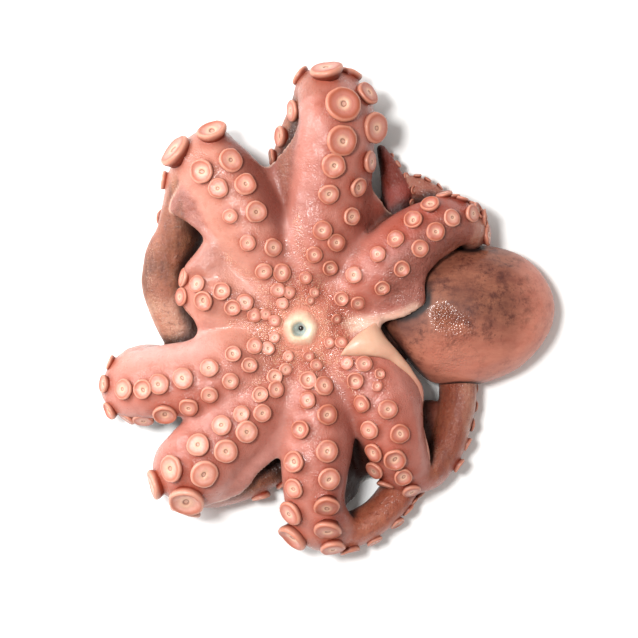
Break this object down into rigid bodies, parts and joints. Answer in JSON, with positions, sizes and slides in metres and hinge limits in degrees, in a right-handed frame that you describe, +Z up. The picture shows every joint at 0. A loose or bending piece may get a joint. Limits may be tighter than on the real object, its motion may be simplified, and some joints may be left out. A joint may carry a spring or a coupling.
{
  "type": "whole raw octopus",
  "caption": "Whole raw octopus lying mouth up, its suckered arms spread from the mouth and folded back under, the egg-shaped mantle flopped to one side.",
  "frame": {"origin": "on the ground under the middle of the animal's box", "axes": "+Z up, out of the mouth; +X towards the mantle; +Y towards the longest upper arm"},
  "size_m": [0.2529, 0.2708, 0.0593],
  "materials": {
    "flesh": "wet, soft skin, salmon pink on the suckered side and brown on the back",
    "beak": "hard, dark brown and glossy"
  },
  "bodies": {
    "root": {"octopus": "flesh", "beak": "beak"}
  },
  "joints": []
}
